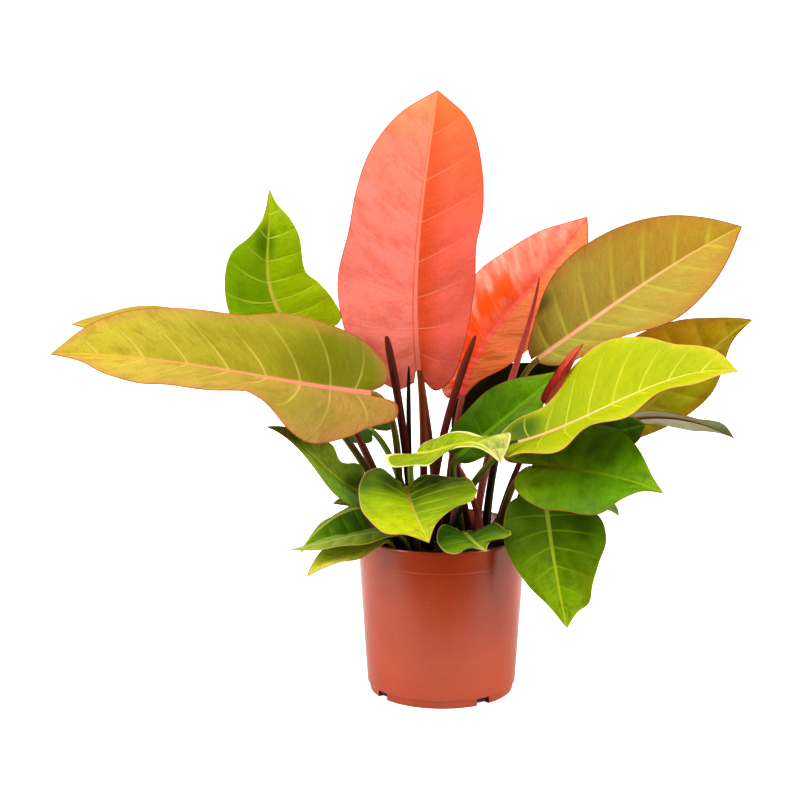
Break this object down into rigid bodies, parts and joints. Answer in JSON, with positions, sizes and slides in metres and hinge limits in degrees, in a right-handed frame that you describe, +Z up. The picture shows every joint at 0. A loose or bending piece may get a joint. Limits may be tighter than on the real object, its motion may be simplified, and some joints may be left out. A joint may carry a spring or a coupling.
{
  "type": "potted philodendron",
  "caption": "Orange-leaved philodendron: a rosette of coral, bronze, lime and green heart-based leaves on stalks, rooted in soil in a round terracotta-coloured nursery pot.",
  "frame": {"origin": "centre of the pot's flat underside, on the surface that it stands on", "axes": "+Z up along the pot's axis, -Y towards the front of the picture, +X to its right"},
  "size_m": [0.6992, 0.2975, 0.6002],
  "materials": {
    "coral_leaf": "waxy young leaf, coral orange",
    "bronze_leaf": "waxy leaf, bronze yellow",
    "olive_leaf": "waxy leaf, olive brown",
    "lime_leaf": "waxy leaf, lime with a cream-pink rib",
    "green_leaf": "glossy mature leaf, green",
    "dark_leaf": "glossy mature leaf, dark green",
    "red_leaf": "glossy rolled new leaf, red",
    "green_stalk": "satin leaf stalk, olive green",
    "red_stalk": "satin leaf stalk, red brown",
    "orange_stalk": "satin leaf stalk, orange brown",
    "dry_sheath": "dry papery sheath, maroon",
    "terracotta_plastic": "satin moulded plastic, terracotta",
    "potting_soil": "matte crumbly potting soil"
  },
  "bodies": {
    "root": {"blade_coral_tall": "coral_leaf", "stalk_coral_tall": "orange_stalk", "blade_coral_leaning": "coral_leaf", "stalk_coral_leaning": "red_stalk", "blade_bronze_right": "bronze_leaf", "stalk_bronze_right": "green_stalk", "blade_olive_back_right": "olive_leaf", "stalk_olive_back_right": "green_stalk", "blade_lime_right": "lime_leaf", "stalk_lime_right": "green_stalk", "blade_grey_narrow_right": "green_leaf", "stalk_grey_narrow_right": "green_stalk", "blade_green_centre": "green_leaf", "stalk_green_centre": "green_stalk", "blade_dark_centre": "dark_leaf", "stalk_dark_centre": "green_stalk", "blade_red_furled": "red_leaf", "stalk_red_furled": "red_stalk", "blade_green_right": "green_leaf", "stalk_green_right": "green_stalk", "blade_green_hanging": "green_leaf", "stalk_green_hanging": "green_stalk", "blade_lime_wavy": "lime_leaf", "stalk_lime_wavy": "green_stalk", "blade_lime_front": "lime_leaf", "stalk_lime_front": "green_stalk", "blade_green_rim": "green_leaf", "stalk_green_rim": "green_stalk", "blade_bronze_left": "bronze_leaf", "stalk_bronze_left": "green_stalk", "blade_olive_back_left": "olive_leaf", "stalk_olive_back_left": "green_stalk", "blade_green_upper_left": "green_leaf", "stalk_green_upper_left": "red_stalk", "blade_green_folded_left": "green_leaf", "stalk_green_folded_left": "green_stalk", "blade_green_left_low": "green_leaf", "stalk_green_left_low": "green_stalk", "blade_green_left_rim": "green_leaf", "stalk_green_left_rim": "green_stalk", "blade_lime_left_rim": "lime_leaf", "stalk_lime_left_rim": "green_stalk", "blade_green_left_small": "green_leaf", "stalk_green_left_small": "green_stalk", "blade_dark_right": "dark_leaf", "stalk_dark_right": "green_stalk", "blade_green_back_left": "green_leaf", "stalk_green_back_left": "green_stalk", "blade_green_back_right": "green_leaf", "stalk_green_back_right": "green_stalk", "blade_green_back_centre": "green_leaf", "stalk_green_back_centre": "red_stalk", "new_leaf_spear": "red_leaf", "sheath_left": "dry_sheath", "sheath_centre": "dry_sheath", "sheath_right": "dry_sheath", "sheath_front": "red_stalk", "pot": "terracotta_plastic", "soil": "potting_soil"}
  },
  "joints": []
}
